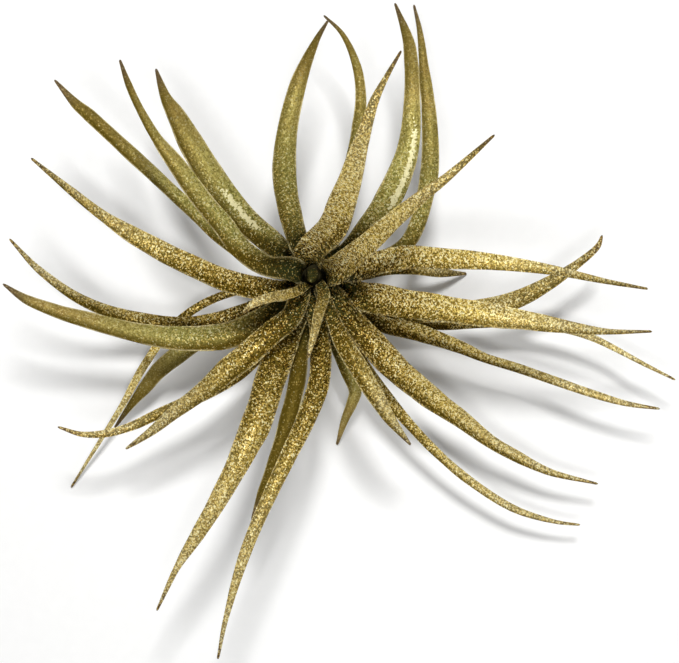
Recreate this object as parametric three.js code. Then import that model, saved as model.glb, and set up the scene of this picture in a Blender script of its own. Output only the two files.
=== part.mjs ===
// A gold-painted capitata air plant: a rosette of stiff, channelled, tapering leaves on a short stem.
// Millimetres, +Z up. The origin is the middle of the stem's flat underside, on which the plant stands.
// +Y is the top of the reference view, which looks down on the rosette, and +X is its right.
import * as THREE from "three";

// The eye of the reference view, and the height of the plane on which the leaves' ways were read.
const EYE = new THREE.Vector3(6.5, -14, 520);
const READ_PLANE = 40;

// The stem leans a little towards the top of the view. It is a cone on a low, rounded callus with a flat
// underside, the stub that the roots grew from.
const LEAN = new THREE.Vector2(-0.05, 0.11);
const STEM_HEIGHT = 33;
const STEM_FOOT_RADIUS = 6.5;
const STEM_TAPER = 0.135;
const FOOT_HEIGHT = 3;
const CALLUS_RADIUS = 9;
const FOOT_ROUND = 1.2;
const ROUND_SIDES = 20;

// The heart bud, the youngest leaves rolled tight, stands on the stem's top and leans back.
const BUD_LEAN = new THREE.Vector2(-0.04, -0.28);
const BUD_RADIUS = 1.8;
const BUD_HEIGHT = 9.5;
const BUD_TIP_RADIUS = 0.4;

// Height on the stem at which the leaves of each whorl start, from the heart outwards.
const WHORL_HEIGHTS = [31, 27, 22.6, 18.2, 13.8, 9.4, 5];
const STEM_GAP = 0.35;

// A leaf's blade: thickness at its middle and at its margins.
const MIDDLE_THICKNESS = 1;
const MARGIN_THICKNESS = 0.6;
// Depth of the channel for the blade's half width, and how much deeper it is at the base.
const CHANNEL = 0.4;
const BASE_DEEPENING = 1.5;
const DEEPENING_SHARE = 0.42;
// Length over which a leaf's clasping base opens into the blade.
const OPENING = 15;
// Share of the room between two neighbours on the stem that a leaf's base fills.
const BASE_FILL = 0.8;
const WIDEST_BASE_ANGLE = 90;
// How far above its start a leaf has left the stem, and by how much.
const SHEATH_RISE = 5;
const SHEATH_SPREAD = 1;
const RING_STEP = 8;
const FEWEST_RINGS = 5;
const ACROSS = [-1, -0.5, 0, 0.5, 1];

const GOLD = 0xb39a45;
const OLIVE_GOLD = 0x8f8640;
const OLIVE = 0x5f6238;
const BARK = 0x6b5a38;
const FIRST_OUTER_WHORL = 4;

// Each leaf: its whorl, the direction in degrees in which it leaves the stem, its heights as
// [share of its reach, height], the last being the tip's, and its way as the eye sees it on the read
// plane: [across, up, width of the blade there], the last point being the tip. Where a leaf differs from
// the constants above it also has its own channel depth or opening length.
const LEAVES = {
  heart_leaf_1: {
    whorl: 0, from: 305, heights: [[0.85, 58], [1, 57]], channel: 0.5,
    way: [[1.6, -3.5, 4], [0.1, -9.4, 3.2], [-1.3, -15.7, 2.1], [-3, -22, 0.7]],
  },
  heart_leaf_2: {
    whorl: 0, from: 250, heights: [[0.8, 57], [1, 56]], channel: 0.5,
    way: [[-8.4, -2.7, 2.9], [-14.4, -3.9, 3], [-18.9, -5.4, 2.4], [-22.5, -8.4, 0.7]],
  },
  inner_leaf_1: {
    whorl: 1, from: 104, heights: [[0.75, 88], [1, 84]], opening: 6, channel: 0.2,
    way: [[-0.8, 11.4, 9.4], [4.4, 17.2, 8.9], [7.8, 25.5, 8.1], [10.2, 33, 6.5], [12.3, 40.5, 4.8],
      [14.9, 48.8, 3.3], [17.1, 55.5, 2.6], [20.5, 62.3, 1.5], [25, 70.2, 0.7]],
  },
  inner_leaf_2: {
    whorl: 1, from: 5, heights: [[0.75, 80], [1, 76]], opening: 7, channel: 0.32,
    way: [[6.6, 5.2, 8.6], [12.6, 10.2, 7.2], [18.3, 15.3, 6], [24.6, 21, 5], [31.8, 26.9, 3.5],
      [37.5, 31.2, 2.7], [44.7, 37.5, 1.8], [53, 45, 0.7]],
  },
  inner_leaf_3: {
    whorl: 1, from: 175, heights: [[0.6, 66], [1, 56]], opening: 9, channel: 0.5,
    way: [[-9, 4.6, 7.4], [-16.7, 6.4, 6.3], [-23.4, 11.4, 6.3], [-29.2, 18.8, 6.2], [-36.5, 27.8, 5.7],
      [-42.3, 36, 5], [-48, 43.5, 3], [-53.5, 53, 2.3], [-56.7, 60, 2], [-59.4, 67.5, 0.7]],
  },
  inner_leaf_4: {
    whorl: 1, from: 238, heights: [[0.35, 46], [1, 30]], channel: 0.6,
    way: [[-8.5, -10, 6.4], [-13.8, -14.4, 7.4], [-21.2, -21, 7.5], [-27.3, -25.8, 7.2], [-33.6, -31.2, 5.7],
      [-43.2, -38.4, 3.9], [-50, -44, 2.7], [-57.6, -49.2, 0.7]],
  },
  inner_leaf_5: {
    whorl: 1, from: 293, heights: [[0.6, 53], [1, 40]], channel: 0.6,
    way: [[5.1, -11.5, 4.4], [8, -18, 5.4], [12.6, -25.5, 5.7], [17.1, -33, 5.1], [21.9, -40.5, 3.3],
      [27.8, -48, 0.7]],
  },
  middle_leaf_1: {
    whorl: 2, from: 12, heights: [[0.6, 60], [1, 46]], channel: 0.36,
    way: [[11, 3.9, 6], [16.2, 6, 7.2], [26, 8.2, 7.2], [33.6, 8, 6.6], [51.6, 6.9, 4.8], [69.6, 4.5, 3],
      [87.6, 0.8, 1.5], [99, -1.2, 0.7]],
  },
  middle_leaf_2: {
    whorl: 2, from: 115, heights: [[0.65, 62], [1, 50]],
    way: [[-6, 13.5, 6.2], [-8.1, 21, 6.5], [-9.6, 28.5, 7], [-10, 36, 7.1], [-8.9, 47.4, 6],
      [-5.6, 60.9, 4.8], [-0.6, 72.9, 2], [3, 79.2, 0.7]],
  },
  middle_leaf_3: {
    whorl: 2, from: 180, heights: [[0.6, 60], [1, 52]],
    way: [[-9.5, -1.5, 6], [-19, -0.8, 6.6], [-28, 1.5, 6.4], [-37, 5.4, 6], [-46, 9.8, 6], [-55, 14.7, 5],
      [-64, 20.4, 3.3], [-72.9, 27.3, 2.5], [-86, 38, 0.7]],
  },
  middle_leaf_4: {
    whorl: 2, from: 270, heights: [[0.65, 62], [1, 50]], channel: 0.45,
    way: [[0.5, -14.5, 6], [0.9, -21.8, 6.6], [0.3, -29.3, 6.3], [-2.1, -36.8, 6], [-9, -51.8, 4.8],
      [-16.2, -66.8, 3.9], [-22.2, -81.8, 3.3], [-27.5, -99.8, 1.6], [-30, -112.2, 0.7]],
  },
  middle_leaf_5: {
    whorl: 2, from: 318, heights: [[0.2, 38], [0.52, 23], [1, 14.5]], channel: 0.6,
    way: [[10.6, -11, 7], [16.2, -17.4, 8.4], [24.6, -26.3, 8.1], [33.6, -33.6, 6.9], [42.6, -40, 5.7],
      [51.6, -46.8, 4.2], [60.6, -52, 3.6], [69.6, -56.1, 2.3], [84, -59.7, 0.7]],
  },
  middle_leaf_6: {
    whorl: 3, from: 345, heights: [[0.6, 50], [1, 40]],
    way: [[13.2, -3.6, 8.4], [18.6, -4.5, 9.2], [26, -5.7, 9], [41, -7.8, 7.7], [59, -10.2, 6.3],
      [77, -13, 3.4], [86, -14, 1.9], [100.2, -14, 0.7]],
  },
  middle_leaf_7: {
    whorl: 3, from: 243, heights: [[0.55, 54], [1, 44]],
    way: [[-9, -16.5, 6.6], [-11.7, -21.8, 8.4], [-14.4, -29.3, 9.4], [-19.5, -44.3, 8.4], [-26.9, -59.3, 6],
      [-35.7, -74.3, 4.2], [-42.2, -84.8, 2], [-48.3, -97.7, 0.7]],
  },
  middle_leaf_8: {
    whorl: 3, from: 142, heights: [[0.6, 50], [1, 43]],
    way: [[-10.8, 9.9, 6.8], [-15, 13.5, 7.4], [-20.7, 18.3, 7.8], [-26.7, 25, 8], [-32.7, 33.6, 8.1],
      [-38, 42.5, 7.4], [-43, 51.6, 5.2], [-45.5, 56, 3.4], [-48.6, 64.8, 0.7]],
  },
  middle_leaf_9: {
    whorl: 3, from: 52, heights: [[0.6, 52], [1, 40]], channel: 0.32,
    way: [[8.6, 9.5, 6], [13.2, 14.4, 6.8], [17.4, 19.8, 7.5], [21, 25.5, 7.8], [24.6, 33, 7.5],
      [27, 40.5, 6.4], [28.2, 55.5, 4.7], [27.6, 70.5, 3.8], [26.1, 76.5, 2.6], [23.1, 84.5, 0.7]],
  },
  middle_leaf_10: {
    whorl: 3, from: 300, heights: [[0.2, 24], [0.6, 17.5], [1, 11.5]], channel: 0.5,
    way: [[7.5, -14, 4.6], [10.8, -19.5, 4.8], [14.4, -25.5, 4.5], [22.8, -36.3, 3.6], [31.8, -46.5, 3],
      [44, -57.6, 2.8], [58.4, -66.9, 2.4], [71, -71, 1.3], [78.6, -72, 0.7]],
  },
  outer_leaf_1: {
    whorl: 4, from: 206, heights: [[0.5, 33], [1, 53]], channel: 0.5,
    way: [[-12.9, -8.6, 7.4], [-19, -12, 8.2], [-26, -14.9, 8.4], [-32.4, -15.9, 8.1], [-41.4, -16, 7.4],
      [-50.4, -15, 6.3], [-68.4, -10.7, 5.2], [-86.4, -4.8, 3], [-94.5, 0.3, 0.7]],
  },
  outer_leaf_2: {
    whorl: 4, from: 325, heights: [[0.2, 25], [0.55, 19], [1, 22]], channel: 0.6,
    way: [[12.5, -9.6, 4.6], [20, -12, 5], [32, -14.9, 5.3], [43.2, -18.9, 3.9], [50, -21.9, 3],
      [60.6, -25.2, 3], [81.6, -32.4, 2.5], [92, -35.5, 1.9], [102.6, -37.2, 0.7]],
  },
  outer_leaf_3: {
    whorl: 4, from: 160, heights: [[0.6, 42], [1, 52]],
    way: [[-12, 3.6, 4.2], [-19.5, 7, 4.2], [-29.4, 14.4, 4.2], [-38.4, 23, 4.2], [-57.3, 40.5, 4.2],
      [-68.7, 51, 3.9], [-72.6, 54.3, 3], [-79, 61.5, 0.7]],
  },
  outer_leaf_4: {
    whorl: 4, from: 78, heights: [[0.6, 44], [1, 35]], channel: 0.32,
    way: [[4.6, 12.5, 4], [6.6, 18, 4.2], [9, 25.5, 4.2], [9.6, 33, 4.2], [12, 46.5, 3.9], [12.9, 56, 3.3],
      [11.7, 65.3, 2.7], [7.5, 75, 1.5], [1.8, 80.8, 0.7]],
  },
  outer_leaf_5: {
    whorl: 4, from: 28, heights: [[0.6, 43], [1, 34]],
    way: [[14, 6.5, 4.8], [21.6, 8.8, 4.8], [26.4, 12.3, 4.8], [29.7, 18, 5], [33.3, 33, 5.4],
      [33.5, 48, 4.8], [32, 63, 3.3], [30.6, 75.8, 1.7], [28.8, 84, 0.7]],
  },
  outer_leaf_6: {
    whorl: 4, from: 258, heights: [[0.7, 44], [1, 42]], channel: 0.5,
    way: [[-5, -18, 4.8], [-5.7, -25.5, 5], [-7, -33, 5], [-9, -40.5, 5], [-14, -55.5, 3.6], [-17, -63, 2.7],
      [-19.8, -70.5, 0.7]],
  },
  outer_leaf_7: {
    whorl: 5, from: 187, heights: [[0.5, 22], [0.8, 42], [1, 58]],
    way: [[-14, -4.4, 4.8], [-24.3, -8.7, 4.8], [-32.4, -11, 4.8], [-41.4, -11.7, 4.5], [-58, -9.3, 4.2],
      [-70.7, -4.5, 3.3], [-83.4, 4.4, 2.2], [-92.5, 13.8, 0.7]],
  },
  outer_leaf_8: {
    whorl: 5, from: 235, heights: [[0.45, 27], [1, 38]],
    way: [[-11.4, -15, 5], [-18, -21, 5], [-23.4, -26, 5], [-31, -31, 4.5], [-38.4, -34.8, 4],
      [-48, -38.8, 3.2], [-55.6, -42.3, 2.8], [-63, -44.5, 2.4], [-70.6, -44.8, 1.7], [-78, -42.6, 0.7]],
  },
  outer_leaf_9: {
    whorl: 5, from: 345, heights: [[0.5, 22], [1, 30]],
    way: [[14, -6.5, 5], [24.6, -8.4, 5.7], [36.6, -8.4, 6], [48.6, -7.2, 6], [59.4, -4.5, 5.7],
      [69.8, 0.9, 4.2], [78.3, 6.6, 2.6], [84, 11.7, 1.8], [85.3, 14.9, 0.7]],
  },
  lowest_leaf_1: {
    whorl: 6, from: 332, heights: [[0.4, 14], [1, 20]],
    way: [[15.6, -8, 4.5], [24.6, -10.2, 4.8], [36.6, -11.3, 4.8], [60.6, -11, 3.6], [72.6, -12.8, 3],
      [81.6, -15.5, 2.4], [98, -23.9, 1.3], [107.2, -28.5, 0.7]],
  },
  lowest_leaf_2: {
    whorl: 6, from: 15, heights: [[0.4, 16], [1, 0.4]], channel: 0.55,
    way: [[14, 3, 3.6], [20, 4.4, 3.6], [27.6, 4.8, 3.6], [36.6, 3.6, 3], [44.6, 3.3, 0.8]],
  },
  lowest_leaf_3: {
    whorl: 6, from: 290, heights: [[0.35, 15], [1, 0.4]], channel: 0.6,
    way: [[5, -16, 4.8], [9, -26, 4.8], [11.2, -31.8, 4.2], [10.3, -35.3, 3.5], [8.1, -40.5, 2.4],
      [5.7, -48, 0.8]],
  },
  lowest_leaf_4: {
    whorl: 6, from: 178, heights: [[0.4, 15], [1, 0.4]], channel: 0.5,
    way: [[-14, -0.6, 2.7], [-24.9, -2.1, 2.7], [-35.4, -6.3, 2.7], [-44.4, -13.5, 2.7], [-52.5, -25, 2.7],
      [-58.5, -36, 2], [-64.5, -45.6, 1.4], [-74, -60.8, 0.7]],
  },
  lowest_leaf_5: {
    whorl: 6, from: 210, heights: [[0.45, 15], [1, 3]], channel: 0.36,
    way: [[-11, -7, 5], [-22, -10.5, 6], [-33, -15, 6], [-42, -21, 6], [-47.4, -25.5, 5.5], [-51.8, -30.8, 4],
      [-56, -36, 2.4], [-61, -43, 0.7]],
  },
};

const degrees = THREE.MathUtils.degToRad;
const lerp = THREE.MathUtils.lerp;
const blend = THREE.MathUtils.smoothstep;

function stemRadius(height) {
  return STEM_FOOT_RADIUS - STEM_TAPER * (height - FOOT_HEIGHT);
}

function besideStem(direction, radius, height) {
  const x = LEAN.x * height + radius * Math.cos(direction);
  const y = LEAN.y * height + radius * Math.sin(direction);
  return new THREE.Vector3(x, y, height);
}

// The real place of a point that the eye sees at [across, up] on the read plane.
function onSightLine(across, up, height) {
  const share = (EYE.z - height) / (EYE.z - READ_PLANE);
  return new THREE.Vector3(EYE.x + (across - EYE.x) * share, EYE.y + (up - EYE.y) * share, height);
}

// Half the angle on the stem that a leaf's base may take, between its neighbours in the whorl.
function baseAngle(leaf) {
  const turns = Object.values(LEAVES)
    .filter((other) => other !== leaf && other.whorl === leaf.whorl)
    .map((other) => Math.abs(THREE.MathUtils.euclideanModulo(other.from - leaf.from + 180, 360) - 180));
  return degrees((Math.min(WIDEST_BASE_ANGLE, ...turns) / 2) * BASE_FILL);
}

// A smooth line through a leaf's heights, level wherever it turns from rising to drooping or back.
function heightAt(leaf, share, start) {
  const knots = [[0, start], ...leaf.heights];
  const last = knots.length - 1;
  const climbs = leaf.heights.map(([at, height], i) => (height - knots[i][1]) / (at - knots[i][0]));
  const slopes = knots.map((_, i) => {
    const [before, after] = [climbs[i - 1], climbs[i]];
    return before * after > 0 ? (2 * before * after) / (before + after) : 0;
  });
  slopes[0] = 2 * climbs[0] - slopes[1];
  slopes[last] = 2 * climbs[last - 1] - slopes[last - 1];
  const i = Math.max(0, knots.findIndex(([at]) => at >= share) - 1);
  const gap = knots[i + 1][0] - knots[i][0];
  const t = (share - knots[i][0]) / gap;
  const level = lerp(knots[i][1], knots[i + 1][1], t * t * (3 - 2 * t));
  return level + gap * t * (1 - t) * (slopes[i] * (1 - t) - slopes[i + 1] * t);
}

function leafWay(leaf) {
  const direction = degrees(leaf.from);
  const start = WHORL_HEIGHTS[leaf.whorl];
  const radius = stemRadius(start) + STEM_GAP + MIDDLE_THICKNESS / 2;
  const left = besideStem(direction, radius + SHEATH_SPREAD, start + SHEATH_RISE);
  const plan = [left, ...leaf.way.map(([across, up]) => new THREE.Vector3(across, up, left.z))];
  const reaches = [0];
  for (let i = 1; i < plan.length; i++) reaches.push(reaches[i - 1] + plan[i].distanceTo(plan[i - 1]));
  const reach = reaches.at(-1);
  const points = leaf.way.map(([across, up], i) =>
    onSightLine(across, up, heightAt(leaf, Math.min(1, reaches[i + 1] / reach), left.z)),
  );
  return new THREE.CatmullRomCurve3([besideStem(direction, radius, start), left, ...points]);
}

// One closed blade: rings of points over and under its middle, joined and capped at both ends.
function leafGeometry(leaf) {
  const way = leafWay(leaf);
  const length = way.getLength();
  const rings = Math.max(FEWEST_RINGS, Math.round(length / RING_STEP));
  const baseRadius = stemRadius(WHORL_HEIGHTS[leaf.whorl]) + STEM_GAP;
  const baseHalf = baseRadius * Math.sin(baseAngle(leaf));
  const wrap = baseRadius - Math.sqrt(baseRadius ** 2 - baseHalf ** 2);
  const clasping = new THREE.Vector3(-Math.sin(degrees(leaf.from)), Math.cos(degrees(leaf.from)), 0);
  const widths = [leaf.way[0][2], leaf.way[0][2], ...leaf.way.map((point) => point[2])];
  const positions = [];
  for (let ring = 0; ring <= rings; ring++) {
    const along = ring / rings;
    const place = way.getPointAt(along);
    const tangent = way.getTangentAt(along);
    const opened = blend(along * length, 0, leaf.opening ?? OPENING);
    const side = new THREE.Vector3(-tangent.y, tangent.x, 0).normalize().multiplyScalar(opened);
    side.addScaledVector(clasping, 1 - opened).projectOnPlane(tangent).normalize();
    const face = new THREE.Vector3().crossVectors(tangent, side);
    const step = way.getUtoTmapping(along) * (widths.length - 1);
    const before = Math.min(Math.floor(step), widths.length - 2);
    const width = lerp(widths[before], widths[before + 1], step - before);
    const half = lerp(baseHalf, width / 2, opened);
    const deepening = 1 + BASE_DEEPENING * (1 - blend(along, 0, DEEPENING_SHARE));
    const depth = lerp(wrap, (leaf.channel ?? CHANNEL) * half * deepening, opened);
    for (const over of [1, -1]) {
      for (const q of ACROSS) {
        const thickness = lerp(MIDDLE_THICKNESS, MARGIN_THICKNESS, Math.max(q * q, along));
        const lift = depth * q * q + (over * thickness) / 2;
        const point = place.clone().addScaledVector(side, q * half).addScaledVector(face, lift);
        positions.push(...point.toArray());
      }
    }
  }
  const count = ACROSS.length;
  const index = [];
  const at = (ring, row, column) => (ring * 2 + row) * count + column;
  const quad = (a, b, c, d) => index.push(a, b, d, b, c, d);
  for (let ring = 0; ring < rings; ring++) {
    for (let i = 0; i + 1 < count; i++) {
      quad(at(ring, 0, i + 1), at(ring, 0, i), at(ring + 1, 0, i), at(ring + 1, 0, i + 1));
      const [a, b, c, d] = [at(ring, 1, i + 1), at(ring, 1, i), at(ring + 1, 1, i), at(ring + 1, 1, i + 1)];
      index.push(b, a, d, c, b, d);
    }
    quad(at(ring, 0, 0), at(ring, 1, 0), at(ring + 1, 1, 0), at(ring + 1, 0, 0));
    const edge = count - 1;
    quad(at(ring, 1, edge), at(ring, 0, edge), at(ring + 1, 0, edge), at(ring + 1, 1, edge));
  }
  for (let i = 0; i + 1 < count; i++) {
    quad(at(0, 0, i), at(0, 0, i + 1), at(0, 1, i + 1), at(0, 1, i));
    quad(at(rings, 0, i + 1), at(rings, 0, i), at(rings, 1, i), at(rings, 1, i + 1));
  }
  const geometry = new THREE.BufferGeometry();
  geometry.setAttribute("position", new THREE.Float32BufferAttribute(positions, 3));
  geometry.setIndex(index);
  geometry.computeVertexNormals();
  return geometry;
}

// A round solid on the z axis from [radius, height] points, leaning by a slope along x and y.
function leaningRound(points, lean) {
  const profile = points.map(([radius, height]) => new THREE.Vector2(radius, height));
  const geometry = new THREE.LatheGeometry(profile, ROUND_SIDES);
  geometry.rotateX(Math.PI / 2);
  geometry.applyMatrix4(new THREE.Matrix4().makeShear(0, 0, 0, 0, lean.x, lean.y));
  return geometry;
}

function stemGeometry() {
  const profile = [
    [0, 0],
    [CALLUS_RADIUS - FOOT_ROUND, 0],
    [CALLUS_RADIUS, FOOT_ROUND],
    [CALLUS_RADIUS - FOOT_ROUND / 2, 2 * FOOT_ROUND],
    [STEM_FOOT_RADIUS, FOOT_HEIGHT],
    [stemRadius(STEM_HEIGHT), STEM_HEIGHT],
    [0, STEM_HEIGHT],
  ];
  return leaningRound(profile, LEAN);
}

function budGeometry() {
  const profile = [
    [0, 0],
    [BUD_RADIUS, 0],
    [BUD_RADIUS, 0.3 * BUD_HEIGHT],
    [0.75 * BUD_RADIUS, 0.65 * BUD_HEIGHT],
    [BUD_TIP_RADIUS, BUD_HEIGHT],
    [0, BUD_HEIGHT],
  ];
  return leaningRound(profile, BUD_LEAN);
}

const airPlant = new THREE.Group();

const stem = new THREE.Mesh(
  stemGeometry(),
  new THREE.MeshStandardMaterial({ color: BARK, roughness: 0.9, metalness: 0 }),
);
stem.name = "stem";
airPlant.add(stem);

const bud = new THREE.Mesh(
  budGeometry(),
  new THREE.MeshStandardMaterial({ color: OLIVE, roughness: 0.6, metalness: 0.1 }),
);
bud.name = "heart_bud";
bud.position.copy(besideStem(0, 0, STEM_HEIGHT + STEM_GAP));
airPlant.add(bud);

for (const [name, leaf] of Object.entries(LEAVES)) {
  const color = leaf.whorl < FIRST_OUTER_WHORL ? GOLD : OLIVE_GOLD;
  const material = new THREE.MeshStandardMaterial({ color, roughness: 0.45, metalness: 0.6 });
  const mesh = new THREE.Mesh(leafGeometry(leaf), material);
  mesh.name = name;
  airPlant.add(mesh);
}

export default airPlant;
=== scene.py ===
"""The looks of a capitata air plant whose dried rosette is sprayed with gold glitter.

Metres, +Z up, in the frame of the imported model. The origin is the middle of the stem's flat foot.
Lengths in the constants and the leaf table are millimetres, turned to metres where a mesh is made.
"""

import math
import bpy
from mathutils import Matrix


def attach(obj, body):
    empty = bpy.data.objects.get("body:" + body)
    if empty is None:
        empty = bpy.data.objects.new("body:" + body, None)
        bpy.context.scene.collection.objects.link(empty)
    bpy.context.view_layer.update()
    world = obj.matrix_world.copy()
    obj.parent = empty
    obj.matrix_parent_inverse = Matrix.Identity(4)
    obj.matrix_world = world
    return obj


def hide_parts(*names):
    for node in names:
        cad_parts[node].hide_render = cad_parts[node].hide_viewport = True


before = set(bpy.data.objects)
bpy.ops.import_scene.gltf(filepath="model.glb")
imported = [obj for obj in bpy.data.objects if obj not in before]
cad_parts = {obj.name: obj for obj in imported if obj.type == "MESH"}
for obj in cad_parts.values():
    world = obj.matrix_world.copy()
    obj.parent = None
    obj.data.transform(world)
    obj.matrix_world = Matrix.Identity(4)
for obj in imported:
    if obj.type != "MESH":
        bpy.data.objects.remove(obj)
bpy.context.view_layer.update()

from types import SimpleNamespace

import bpy
import numpy as np
from mathutils import Vector
from mathutils.bvhtree import BVHTree

MM = 0.001

# The eye of the reference view, the height of the plane on which the leaves' ways were read, and the
# width of the view's frame on that plane.
EYE = np.array([6.5, -14.0, 520.0])
READ_PLANE = 40
FRAME_WIDTH = 203.7

# The stem on its low callus, and the bud of tightly rolled leaves on its top. Each leans by this much
# for each millimetre of its height, and the stem's radius shrinks by its taper.
LEAN = np.array([-0.05, 0.11])
STEM_HEIGHT = 33
STEM_FOOT_RADIUS = 6.5
STEM_TAPER = 0.135
FOOT_HEIGHT = 3
CALLUS_RADIUS = 9
FOOT_ROUND = 1.2
BUD_LEAN = np.array([-0.04, -0.28])
BUD_RADIUS = 1.8
BUD_HEIGHT = 9.5
BUD_TIP_RADIUS = 0.4

# The heights on the stem from which the whorls of leaves leave it, and the leaves' gap to it.
WHORL_HEIGHTS = (31, 27, 22.6, 18.2, 13.8, 9.4, 5)
STEM_GAP = 0.35
# A blade's thickness, and its channel's depth as a share of its half width. The channel is deeper at the
# base, by up to this many times itself, over this share of the leaf's length.
MIDDLE_THICKNESS = 1
MARGIN_THICKNESS = 0.6
CHANNEL = 0.4
BASE_DEEPENING = 1.5
DEEPENING_SHARE = 0.42
# A base clasps the stem, fills this share of the angle to its neighbours in the whorl and of no more
# than the widest angle, and opens into the blade over a length. It rises and spreads before it leaves.
OPENING = 15
BASE_FILL = 0.8
WIDEST_BASE_ANGLE = 90
SHEATH_RISE = 5
SHEATH_SPREAD = 1

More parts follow.
